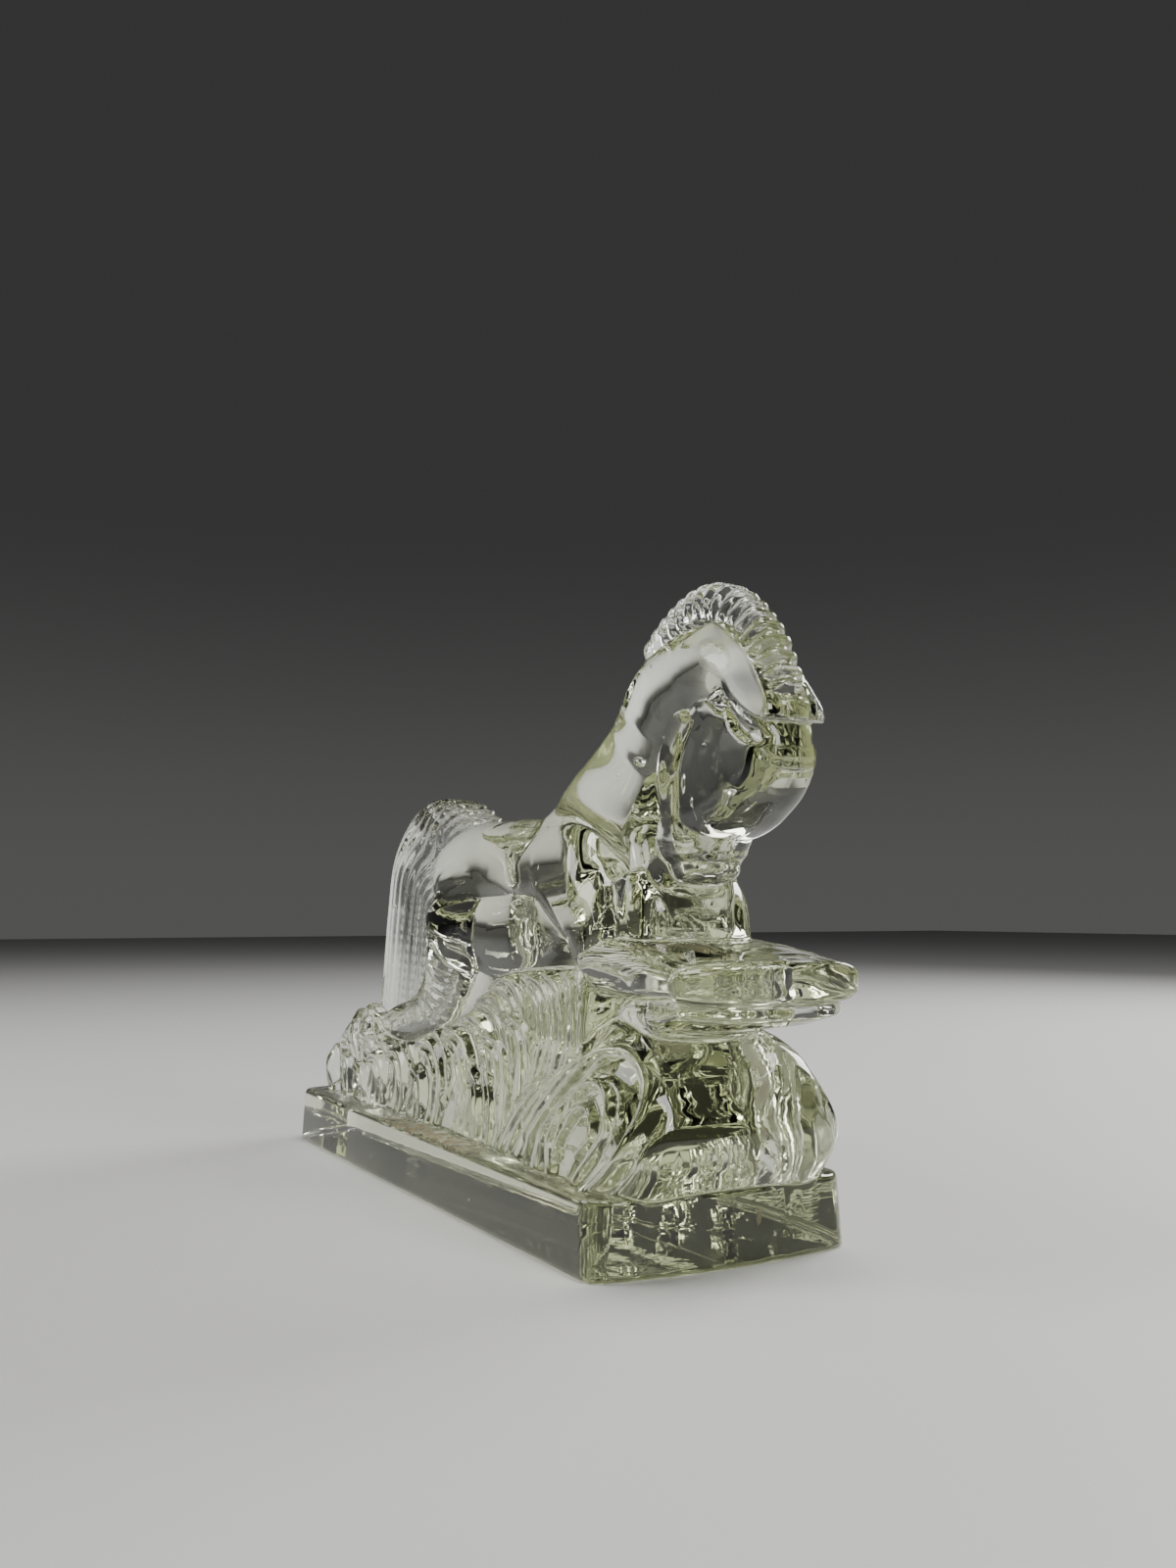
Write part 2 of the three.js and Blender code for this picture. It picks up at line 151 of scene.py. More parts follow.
# Petals of foam round the wave's rear, as forms from foot to tip: x, z, half depth, half width, y.
PETALS = [
    [(-98, 16, 5, 5, 24.5), (-103, 24, 5.5, 5.5, 25), (-104.5, 30, 4.5, 5, 25), (-105, 34, 2.4, 3, 24.5)],
    [(-98, 16, 5, 5, 15), (-105, 25, 5.5, 5.5, 15), (-107.5, 32, 4.5, 5, 15), (-108.5, 36.5, 2.4, 3, 15)],
    [(-100, 16, 5, 5, 5), (-107, 25, 5.5, 5.6, 5), (-109.5, 33, 4.5, 5, 5), (-110.5, 38, 2.4, 3, 5)],
    [(-92, 28, 5, 5, 21), (-97, 36, 5, 6, 21.5), (-98, 40, 3.4, 4.4, 21.5), (-98.5, 43, 1.8, 2.6, 21)],
    [(-93, 28, 5, 5, 10), (-100, 38, 5, 6, 10), (-102, 42.5, 3.4, 4.4, 10), (-103, 45.5, 1.8, 2.6, 10)],
    [(-82, 34, 5, 5, 23), (-86, 42, 5, 5.6, 22.5), (-88, 46, 3, 4, 22), (-89, 48, 1.8, 2.4, 22)],
    [(-70, 36, 6, 5, 23), (-73, 44, 6, 5.6, 22.5), (-75, 48, 4, 4.6, 22), (-76, 50.5, 2, 3, 22)],
]
# Roll in front of the wave: side outline from its back round to its foot, half width at each height, the
# corner of its front, and the y between which the relief comes in.
ROLL_OUTLINE = [(60, 8), (60, 60), (80, 60), (96, 58), (108, 53), (115.5, 47), (120, 39), (122, 32),
                (121, 26), (117, 20), (113, 15), (112, 8)]
ROLL_HALF = [(16, 33.6), (28, 33.8), (36, 32.4), (42, 31.2), (49, 29.4), (53, 26.4), (58, 22)]
ROLL_CORNER = 11
ROLL_RELIEF = (19, 26)

# Forms of the horse: x and z of the middle line, half depth in the mould plane, half width, y of the middle.
# SHOULDER and LEAF are side outlines instead, and SHOULDER_HALF has half widths by height.
BARREL = [(-38, 92, 9, 12, 0), (-30, 93, 15, 18.5, 0), (-15, 95, 18, 22.6, 0), (12, 96, 17.5, 23.4, 0),
          (42, 96, 17, 23.2, 0), (62, 96, 17, 23, 0)]
BELLY = [(-8, 84, 16, 20, 0), (8, 80, 18, 23.6, 0), (28, 78.5, 18.5, 24.4, 0), (48, 79, 18.5, 24, 0),
         (64, 82, 17, 22, 0)]
SHOULDER = [(50, 112), (48.5, 101), (49.5, 93), (55, 86.5), (66, 79), (77, 71.5), (84, 68), (87, 76),
            (86, 88), (81, 99), (73, 109), (62, 115)]
SHOULDER_HALF = [(66, 24.6), *((86 + 2 * i, 25 * (1 - (i / 15.5) ** 2.4) ** (1 / 2.4)) for i in range(15))]
NECK_ROOT = [(56, 96, 26, 18.5, 0), (66, 109, 21.5, 17, 0), (75, 118.5, 17, 15, 0), (84, 127, 14.5, 13.4, 0),
             (92, 134, 12.5, 12, 0)]
NECK = [(88, 130.5, 15, 13.6, 0), (94, 136.8, 15.5, 13.6, 0), (101, 141.5, 14.2, 13, 0),
        (109, 144.3, 12.5, 12, 0), (121, 142, 11, 11, 0), (128.5, 135.5, 8.5, 10, 0)]
HEAD = [(131.8, 134.5, 9.6, 9, 0), (127.2, 127.2, 17.5, 10.8, 0), (118.9, 119.3, 17, 11.6, 0),
        (108.8, 111.2, 12.6, 11, 0), (106.4, 108.2, 11, 10.4, 0)]
JAW = [(109.5, 129.5, 9.4, 11, 0), (107, 121.5, 10.9, 11.6, 0), (106.7, 113.5, 10.2, 11.4, 0),
       (106.6, 107, 9, 10.6, 0)]
MUZZLE = [(106.8, 107.5, 11, 10.2, 0), (104.4, 103, 10.6, 10.4, 0), (104, 99, 10.2, 10, 0),
          (104, 96.8, 8.6, 8.6, 0)]
THROAT = [(97, 134, 10, 9, 0), (91, 122, 10, 10, 0), (88, 106, 10, 11, 0)]
CHEST = [(90, 102, 10, 12, 0), (94, 92, 10.5, 13.5, 0), (96, 80, 9, 14, 0)]
PECTORAL = [(91.5, 91, 7.5, 8, 9.6), (93, 85, 9.4, 9, 9.8), (93.5, 78, 9.2, 9.4, 10)]
UPPER_ARM = [(75, 92, 9.5, 7, 15), (79, 85, 12, 9.4, 15), (85, 77, 11, 10.6, 14.4)]
ELBOW = [(84, 70.5, 5.5, 7.4, 17.6), (92, 71, 6.8, 8.2, 17.8), (104, 70.5, 6.4, 8.2, 18.4),
         (118, 69.5, 5.4, 7.8, 19)]
FORELEG = [(88, 71, 7, 22.5, 0), (100, 70, 7.6, 25.2, 0), (114, 69, 7, 26.8, 0), (124, 68.2, 6.2, 27.4, 0),
           (129.5, 68, 5.4, 27.2, 0)]
HOOF = [(113, 60.5, 4, 23, 0), (121, 60.8, 4.2, 24.2, 0), (127.5, 62, 3.6, 24, 0)]
STAND = [(92, 56, 8, 17, 0), (102, 58, 7, 17, 0), (111, 59, 4, 16, 0)]
THIGH = [(-7, 99, 14, 5.6, 17), (-3, 86, 21.5, 10.2, 17.4), (-5, 73, 19, 10.2, 17.6),
         (-11, 61, 14, 9.6, 17.8), (-23, 53, 9.5, 8.8, 18), (-39, 48.5, 7.4, 8, 18),
         (-53, 46.8, 6.2, 7.4, 18), (-60, 46.2, 4.6, 6.4, 18)]
LEAF = [(111, 150.6), (116.4, 153.9), (120.5, 155.2), (124.6, 152.9), (128.6, 149.6), (133.1, 145.1),
        (136.6, 140.7), (139.5, 136.7), (142, 133), (143.1, 130.4), (142.6, 128.6), (140.4, 128.6),
        (137.2, 130.3), (133.1, 133.4), (130.2, 136.3), (127.9, 139.2), (123.7, 143.2), (119.1, 146.9),
        (115.2, 149.2)]
# Flat face of the leaf: half width at a middle place, and half width lost per millimetre forwards or upwards.
LEAF_MIDDLE = (124, 148)
LEAF_HALF = 9
LEAF_SLANT = 0.3
# In front the leaf narrows to the seam, from one x to the other, and its half width where that starts.
LEAF_NOSE = (139.2, 143.2)
LEAF_NOSE_HALF = 11.5
LEAF_EDGE = 0.7
# Hollow under the leaf, cut as a form.
LEAF_GROOVE = [(127, 138.2, 0.6, 1.4, 11.8), (129.2, 134.4, 1.6, 2.4, 11.8), (132, 130.4, 2.7, 3.2, 11.8),
               (136.6, 126.5, 2.9, 3.4, 11), (141, 124.9, 2.4, 3, 8.6), (142.8, 125.6, 1.2, 4, 4)]

# Mane: middle line with its reach to the blocks' tops, count of the blocks, half width at foot and top, depth
# of the notches, where a notch starts and is full, rounding, and the middle of the mane's ring.
MANE_LINE = [(84, 152.6, 4.4), (90, 156.3, 5), (98, 160, 5), (106, 162.2, 5), (114, 161.9, 5),
             (121, 158.8, 5), (128, 152.6, 5), (132.6, 147, 5), (135.8, 140.8, 4.9), (138.5, 135.4, 4.3),
             (140.3, 131.9, 2.8), (141.6, 129.6, 1.2)]
MANE_BLOCKS = 18
MANE_FOOT = 6.2
MANE_TOP = 3.4
MANE_NOTCH = 2.1
MANE_CUT = (0.46, 0.62)
MANE_ROUND = 1.5
MANE_CENTRE = (106, 130)

# Tail: outer line from the croup over the arch to the foot, inner line back, half width, pitch and height of
# the flutes, length over which they fan out from the root and their number there, the hub where the tail is
# thinner, how it thins from its edge inwards, the wave of its edge and its rounding.
TAIL_ARCH = [(-18, 110), (-34, 120), (-58, 125.2), (-83, 119.5), (-99, 105), (-105, 85), (-108.5, 66),
             (-111.5, 50), (-113, 36)]
TAIL_WEB = [(-66, 40), (-44, 46), (-24, 56), (-16, 84)]
TAIL_HALF_WIDTH = 8.2
TAIL_PITCH = 4.3
TAIL_FLUTE = 2.0
TAIL_FAN = 62
TAIL_FAN_FLUTES = 8
TAIL_HUB = (-57, 101)
TAIL_HUB_RADII = (3, 15)
TAIL_HUB_SINK = 3.4
TAIL_DISH = (8, 26)
TAIL_DISH_SINK = 3
TAIL_RIM_WAVE = 1.3
TAIL_ROUND = 4.2

# Air bubbles: middle, radii and turn of the large ones, then number, radii and least depth of the fine seeds.
BUBBLES = [
    ((90.6, -9.5, 123.9), (2.0, 1.3, 1.5), 0.3),
    ((110.8, -8.5, 116.1), (0.9, 0.9, 2.6), 0.1),
    ((77.2, -20.5, 86.0), (0.9, 0.9, 0.9), 0.0),
    ((80.6, -9.5, 134.4), (0.7, 0.7, 0.8), 0.0),
    ((113.9, -8.0, 111.5), (0.5, 0.5, 1.2), 0.2),
    ((97.9, -10.0, 147.0), (0.45, 0.45, 0.5), 0.0),
]
SEEDS = 60
SEED_RADIUS = (0.22, 0.5)
SEED_DEPTH = 1.5

# Roughness of the glass itself, and what wear, plumes, mane, leaf and dirt add to it.
SHEEN = 0.012
WEAR_SATIN = 0.05
PLUME_SATIN = 0.06
MANE_SATIN = 0.05
LEAF_SATIN = 0.3
DIRT_ROUGHNESS = 0.5

# Rust mark on the plinth's front: its y and z, its inner and outer radius, and the weight that narrows it.
RUST_PLACE = (7.1, 11.4)
RUST_RADII = (1.0, 2.6)
RUST_NARROW = 9

# How strongly the glass takes its tint, per metre of depth.
TINT_DENSITY = 16.0

# Stage: half side of the floor, and each light's name, place, aim, width, height and power.
FLOOR_REACH = 4.0
LIGHTS = [
    ("key", (-0.42, -0.93, 0.88), (0.05, 0, 0.1), 0.6, 0.6, 8),
    ("top", (0.15, 0.1, 1.55), (0.03, 0, 0.1), 0.6, 0.6, 17),
    ("rim", (-0.1, 1.1, 0.7), (0.05, 0, 0.08), 0.6, 0.4, 14),
    ("front", (1.3, 0.35, 0.7), (0.05, 0, 0.06), 0.4, 0.6, 8),
]
# Sockets of a Mix node that mixes colours: first colour, second colour, result.
MIX_FIRST, MIX_SECOND, MIX_RESULT = 6, 7, 2


class CastingSizes(bpy.types.PropertyGroup):
    """Sizes and colours of the glass casting."""

    relief: bpy.props.FloatProperty(
        name="Relief", description="Height of the plumes, blades and scroll over the wave's flank",
        default=3.5 * MM, min=0.0, max=5 * MM, unit="LENGTH", subtype="DISTANCE")
    mane_notch: bpy.props.FloatProperty(
        name="Mane notch", description="Depth of the cuts between the mane's blocks",
        default=MANE_NOTCH * MM, min=0.0, max=4 * MM, unit="LENGTH", subtype="DISTANCE")
    tail_flute: bpy.props.FloatProperty(
        name="Tail flute", description="Height of the tail's flutes",
        default=TAIL_FLUTE * MM, min=0.0, max=3 * MM, unit="LENGTH", subtype="DISTANCE")
    glass_tint: bpy.props.FloatVectorProperty(
        name="Glass tint", description="Colour that thick glass takes",
        default=(0.93, 0.95, 0.80), size=3, subtype="COLOR", min=0.0, max=1.0)
    dirt: bpy.props.FloatVectorProperty(
        name="Dirt", description="Colour of the old dirt at the wave's foot",
        default=(0.50, 0.21, 0.07), size=3, subtype="COLOR", min=0.0, max=1.0)
    refraction: bpy.props.FloatProperty(
        name="Refraction", description="Index of refraction of the glass", default=1.52, min=1.0, max=2.0)


class StageSizes(bpy.types.PropertyGroup):
    """The floor's colour and the camera."""

    floor_colour: bpy.props.FloatVectorProperty(
        name="Floor colour", description="Colour of the plain floor",
        default=(0.57, 0.565, 0.555), size=3, subtype="COLOR", min=0.0, max=1.0)
    camera_place: bpy.props.FloatVectorProperty(
        name="Camera place", description="Where the photograph was taken from",
        default=(0.380234, -0.185713, 0.084737), size=3, unit="LENGTH", subtype="TRANSLATION")
    camera_turn: bpy.props.FloatProperty(
        name="Camera turn", description="Direction of the view round the vertical",
        default=math.radians(61.1006), unit="ROTATION", subtype="ANGLE")
    camera_tilt: bpy.props.FloatProperty(
        name="Camera tilt", description="Rise of the view over the level",
        default=math.radians(5.5638), unit="ROTATION", subtype="ANGLE")
    camera_lens: bpy.props.FloatProperty(
        name="Camera lens", description="Focal length on a 36 mm picture height", default=30.035, min=1.0)


def soft_min(a, b, blend):
    """Lower of two distances, with the corner between them filled over the length blend."""
    if blend <= 0:
        return np.minimum(a, b)
    share = np.clip(0.5 + 0.5 * (b - a) / blend, 0, 1)
    return b + (a - b) * share - blend * share * (1 - share)


def round_max(a, b, radius):
    """Where both distances hold, with the edge between them rounded to a radius."""
    corner = np.hypot(np.maximum(a + radius, 0), np.maximum(b + radius, 0))
    return np.minimum(np.maximum(a, b), -radius) + corner


def smooth_step(low, high, value):
    """0 below low, 1 above high, eased between."""
    share = np.clip((value - low) / (high - low), 0, 1)
    return share * share * (3 - 2 * share)


def smooth_line(stations, steps):
    """Stations joined by a smooth curve, as rows of the same columns."""
    p = np.array(stations, float)
    t = np.concatenate([[0], np.cumsum(np.sqrt(np.hypot(*np.diff(p[:, :2], axis=0).T)))])
    slope = np.gradient(p, t, axis=0)
    at = np.linspace(0, t[-1], steps + 1)
    i = np.clip(np.searchsorted(t, at, side="right") - 1, 0, len(t) - 2)
    gap = (t[i + 1] - t[i])[:, None]
    s = (at - t[i])[:, None] / gap
    return ((2 * s**3 - 3 * s**2 + 1) * p[i] + (s**3 - 2 * s**2 + s) * gap * slope[i]
            + (3 * s**2 - 2 * s**3) * p[i + 1] + (s**3 - s**2) * gap * slope[i + 1])


def follow(line, x, z):
    """Nearest place on a line of rows [x, z, ...] to each point: the signed distance across the line, the
    distance past its end, the length run along it, and the row there."""
    ends = line[:-1, :2], line[1:, :2]
    run = np.concatenate([[0], np.cumsum(np.hypot(*(ends[1] - ends[0]).T))])
    best = np.full(np.broadcast(x, z).shape, np.inf)
    place = np.zeros_like(best)
    for i, (a, b) in enumerate(zip(*ends)):
        d = b - a
        share = np.clip(((x - a[0]) * d[0] + (z - a[1]) * d[1]) / (d @ d), 0, 1)
        away = (x - a[0] - share * d[0]) ** 2 + (z - a[1] - share * d[1]) ** 2
        closer = away < best
        best = np.where(closer, away, best)
        place = np.where(closer, i + share, place)
    index = np.arange(len(line))
    row = [np.interp(place, index, column) for column in line.T]
    along = np.gradient(line[:, :2], axis=0)
    along /= np.hypot(*along.T)[:, None]
    tx, tz = np.interp(place, index, along[:, 0]), np.interp(place, index, along[:, 1])
    dx, dz = x - row[0], z - row[1]
    at_end = (place <= 0) | (place >= len(line) - 1)
    past = np.where(at_end, np.abs(dx * tx + dz * tz), 0)
    side = dz * tx - dx * tz
    across = np.where(at_end, side, np.sign(side) * np.sqrt(best))
    return across, past, np.interp(place, index, run), row


class Form:
    """A form of the casting: its box [x0, x1, y0, y1, z0, z1] and its signed distance at points."""

    def __init__(self, box, distance):
        self.box = box
        self.distance = distance


def swept(stations, power):
    """Rounded form along a middle line of rows [x, z, half depth, half width, y]; a high power squares it."""
    line = smooth_line(stations, SWEPT_STEPS)
    reach = float(max(line[:, 2].max(), line[:, 3].max()))

    def distance(x, y, z):
        across, past, _, row = follow(line, x, z)
        depth, width, middle = row[2][:, None, :], row[3][:, None, :], row[4][:, None, :]
        u, w = np.abs(across)[:, None, :], past[:, None, :]
        v = np.abs(y[None, :, None] - middle)
        end = SWEPT_END * np.minimum(depth, width)
        measure = ((u / depth) ** power + (v / width) ** power + (w / end) ** power) ** (1 / power)
        centre = np.sqrt(u * u + v * v + w * w)
        core = -np.minimum(depth, width)
        return np.where(measure > 0.02, centre * (1 - 1 / np.maximum(measure, 0.02)), core)

    x, z, y = line[:, 0], line[:, 1], line[:, 4]
    box = [x.min() - reach, x.max() + reach, (y - line[:, 3]).min(), (y + line[:, 3]).max(),
           z.min() - reach, z.max() + reach]
    return Form(box, distance)


def outline_distance(points, x, z):
    """Signed distance to a closed outline in the mould plane, negative inside."""
    p = np.array(points, float)
    best = np.full(np.broadcast(x, z).shape, np.inf)
    inside = np.zeros(best.shape, bool)
    for a, b in zip(p, np.roll(p, -1, axis=0)):
        d = b - a
        share = np.clip(((x - a[0]) * d[0] + (z - a[1]) * d[1]) / (d @ d), 0, 1)
        best = np.minimum(best, np.hypot(x - a[0] - share * d[0], z - a[1] - share * d[1]))
        if a[1] != b[1]:
            crosses = (z >= min(a[1], b[1])) & (z < max(a[1], b[1]))
            inside ^= crosses & (x < a[0] + (z - a[1]) * d[0] / d[1])
    return np.where(inside, -best, best)


def rounded_outline(points, steps):
    """Outline with its corners eased by a smooth line through its points."""
    return smooth_line(points, steps)[:, :2]


def outline_box(outline, half):
    """Box of a form with this side outline and largest half width."""
    low, high = outline.min(0), outline.max(0)
    return [low[0], high[0], 0, half, low[1], high[1]]


def plinth_form():
    """Oblong plinth with a slight draft, bowed ends and rounded corners and edges."""
    def distance(x, y, z):
        x, y, z = x[:, :, None], y[None, :, None], z.reshape(1, 1, -1)
        rise = np.clip(z / PLINTH_HEIGHT, 0, 1)
        half_y = PLINTH_WIDTH / 2 - PLINTH_DRAFT * rise
        half_x = PLINTH_LENGTH / 2 - PLINTH_DRAFT * rise + PLINTH_BOW * (1 - (y / half_y) ** 2)
        corner = FOOT_CORNER + (RIM_CORNER - FOOT_CORNER) * rise
        a, b = np.abs(x) - half_x, y - half_y
        plan = round_max(a, b, corner)
        level = np.abs(z - PLINTH_HEIGHT / 2) - PLINTH_HEIGHT / 2
        return round_max(plan, level, EDGE)

    half = PLINTH_LENGTH / 2 + PLINTH_BOW
    return Form([-half, half, 0, PLINTH_WIDTH / 2, 0, PLINTH_HEIGHT], distance)


def ring_height(x, z, points, width, height):
    """Raised ring or strand of the scroll, rounded across."""
    last = len(points) - 1
    swell = [0.55 + 0.45 * math.sin(math.pi * i / last) ** 0.5 for i in range(last + 1)]
    rows = [(px, pz, width * k) for (px, pz), k in zip(points, swell)]
    across, past, _, row = follow(smooth_line(rows, 48), x, z)
    return height * np.clip(1 - (across**2 + past**2) / row[2] ** 2, 0, 1) ** 0.6


def tuft_height(x, z, points, width, strands, height):
    """Share of the flank that a tuft covers, and its height there: strands that run together at its tip."""
    rows = [(px, pz, width * k) for (px, pz), k in zip(points, TUFT_SWELL[len(points)])]
    across, past, run, row = follow(smooth_line(rows, 22), x, z)
    share = np.clip(run / max(run.max(), 1), 0, 1)
    side = across / row[2]
    away = np.hypot(side, past / (0.9 * row[2]))
    cover = 1 - smooth_step(0.88, 1.12, away)
    strand = np.abs(np.sin(math.pi * strands * (np.clip(side, -1, 1) + 1) / 2)) ** 0.75
    dome = np.sqrt(np.clip(1 - 0.9 * side**2, 0, 1))
    lift = TUFT_LIFT[0] + TUFT_LIFT[1] * dome + TUFT_LIFT[2] * strand
    rise = 0.55 + 0.45 * smooth_step(0.05, 0.55, share)
    fall = 1 - 0.25 * smooth_step(0.85, 1, share)
    return cover, height * lift * rise * fall


def relief_height(x, z, height):
    """Height of the relief over the wave's flank."""
    x, z = np.broadcast_arrays(x, z)
    total = np.full(x.shape, FLANK_LIFT)
    for points, width, strands, lift in TUFTS:
        cover, raised = tuft_height(x, z, points, width, strands, lift)
        total += cover * (raised - total)
    across, past, _, row = follow(smooth_line(SCROLL_DISH, 8), x, z)
    cover = 1 - smooth_step(0.9, 1.25, np.hypot(across, past) / row[2])
    total += cover * (DISH_LIFT - total)
    away = np.hypot(x - SCROLL_MIDDLE[0], z - SCROLL_MIDDLE[1])
    beyond = smooth_step(*SCROLL_RIM, away) * smooth_step(98, 106, x)
    total += beyond * (BEYOND_LIFT - total)
    for points, width, lift in SCROLL_RINGS:
        total = np.maximum(total, ring_height(x, z, points, width, lift))
    return height * total


def wave_form(height):
    """Wave under the horse, with the relief on its flank."""
    outline = rounded_outline(WAVE_OUTLINE, 80)

    def distance(x, y, z):
        lift = relief_height(x, z, height)
        half = WAVE_HALF_WIDTH - WAVE_TAPER * (z - WAVE_FOOT) + lift - height
        across = outline_distance(outline, x, z)
        return round_max(across[:, None, :], y[None, :, None] - half[:, None, :], WAVE_ROUND)

    return Form(outline_box(outline, WAVE_HALF_WIDTH), distance)


def slab(points, halves, rounding):
    """Flat-sided form: a rounded outline in the mould plane, with half widths by height."""
    outline = rounded_outline([*points, points[0]], 60)[:-1]
    levels, widths = np.array(halves, float).T

    def distance(x, y, z):
        half = np.interp(z, levels, widths)
        across = outline_distance(outline, x, z)
        return round_max(across[:, None, :], y[None, :, None] - half[:, None, :], rounding)

    return Form(outline_box(outline, widths.max()), distance)


def leaf_level(x, z):
    """Half width of the leaf's flat face."""
    return LEAF_HALF - LEAF_SLANT * (x - LEAF_MIDDLE[0]) - LEAF_SLANT * (z - LEAF_MIDDLE[1])


def leaf_form():
    """Flat lock of the mane that lies over both cheeks and meets in front of the brow."""
    outline = rounded_outline([*LEAF, LEAF[0]], 76)[:-1]

    def distance(x, y, z):
        nose = LEAF_NOSE_HALF * np.clip((LEAF_NOSE[1] - x) / (LEAF_NOSE[1] - LEAF_NOSE[0]), 0, 1) ** 0.2
        half = np.minimum(leaf_level(x, z), nose)
        across = outline_distance(outline, x, z)
        return round_max(across[:, None, :], y[None, :, None] - half[:, None, :], LEAF_EDGE)

    return Form(outline_box(outline, LEAF_NOSE_HALF), distance)


def roll_form(height):
    """Roll that closes the wave in front, with the scroll on its flank."""
    outline = rounded_outline(ROLL_OUTLINE, 60)
    levels, halves = np.array(ROLL_HALF, float).T

    def distance(x, y, z):
        lift = relief_height(x, z, height)
        half = np.interp(z, levels, halves)
        across = outline_distance(outline, x, z)
        body = round_max(across[:, None, :], y[None, :, None] - half[:, None, :], ROLL_CORNER)
        return body + (height - lift)[:, None, :] * smooth_step(*ROLL_RELIEF, y)[None, :, None]

    return Form(outline_box(outline, halves.max()), distance)


def mane_form(notch):
    """Upright mane cut into blocks by notches across it."""
    line = smooth_line(MANE_LINE, 60)
    length = float(np.hypot(*np.diff(line[:, :2], axis=0).T).sum())

    def distance(x, y, z):
        across, past, run, row = follow(line, x, z)
        reach = row[2]
        rise = np.clip((across + 1) / (reach + 1), 0, 1)
        half = MANE_FOOT - (MANE_FOOT - MANE_TOP) * rise**1.6
        off = np.abs(run / length * MANE_BLOCKS % 1 - 0.5) * 2
        cut = notch * smooth_step(*MANE_CUT, off)
        low = np.abs(across) - reach + 0.4 * cut + past
        return round_max(low[:, None, :], y[None, :, None] - (half - cut)[:, None, :], MANE_ROUND)

    left, right, _, _, bottom, top = outline_box(line, 0)
    reach = line[:, 2].max()
    return Form([left - reach, right + reach, 0, MANE_FOOT, bottom - reach, top + reach], distance)


def tail_form(flute):
    """Thin arched tail, fluted along its arch and fanned out where it leaves the croup."""
    arch = smooth_line([(x, z, 0, 0, 0) for x, z in TAIL_ARCH], 60)
    outline = np.concatenate([arch[:, :2], np.array(TAIL_WEB, float)])

    def distance(x, y, z):
        across, _, run, _ = follow(arch, x, z)
        depth = np.abs(across)
        start = np.clip(1 - run / TAIL_FAN, 0, 1)
        fan = TAIL_FAN_FLUTES * start**1.3
        ridge = np.abs(np.cos(math.pi * (depth / TAIL_PITCH + fan))) ** 0.8
        dish = smooth_step(*TAIL_DISH, depth)
        hub = 1 - smooth_step(*TAIL_HUB_RADII, np.hypot(x - TAIL_HUB[0], z - TAIL_HUB[1]))
        sink = TAIL_DISH_SINK * dish + TAIL_HUB_SINK * hub
        half = TAIL_HALF_WIDTH - sink + flute * (ridge - 1) * (1 - 0.3 * dish)
        rim = np.abs(np.cos(math.pi * fan))
        edge = outline_distance(outline, x, z) + TAIL_RIM_WAVE * (1 - rim) * smooth_step(0, 0.1, start)
        return round_max(edge[:, None, :], y[None, :, None] - half[:, None, :], TAIL_ROUND)

    return Form(outline_box(outline, TAIL_HALF_WIDTH), distance)


def bubbles(mesh, surface, normals):
    """Adds the air bubbles of the glass as small shells that face inwards."""
    dice = np.random.default_rng(7)
    made = [(np.array(place, float), np.array(radii, float), turn) for place, radii, turn in BUBBLES]
    skin = coordinates(mesh)
    low, high = skin.min(0) / MM, skin.max(0) / MM
    while len(made) < len(BUBBLES) + SEEDS:
        place = dice.uniform(low, high)
        radius = dice.uniform(*SEED_RADIUS)
        if surface.sample(place[None])[0] < -radius - SEED_DEPTH:
            made.append((place, radius * np.array([1, 1, dice.uniform(1, 1.6)]), dice.uniform(-0.6, 0.6)))
    shell = bmesh.new()
    every = [normals]
    for place, radii, turn in made:
        rows = 3 if radii.max() > 1 else 2
        matrix = (Matrix.Translation(Vector(place * MM)) @ Matrix.Rotation(turn, 4, "Y")
                  @ Matrix.Diagonal((*(radii * MM), 1)))
        verts = bmesh.ops.create_icosphere(shell, subdivisions=rows, radius=1.0, matrix=matrix)["verts"]
        faces = {face for vert in verts for face in vert.link_faces}
        bmesh.ops.reverse_faces(shell, faces=list(faces))
        flat = matrix.inverted().transposed().to_3x3()
        inward = [-(flat @ (matrix.inverted() @ vert.co)).normalized() for vert in verts]
        every.append(np.array(inward))
    shells = bpy.data.meshes.new("bubbles")
    shell.to_mesh(shells)
    shell.clear()
    shell.from_mesh(mesh)
    shell.from_mesh(shells)
    shell.to_mesh(mesh)
    shell.free()
    bpy.data.meshes.remove(shells)
    return np.concatenate(every)


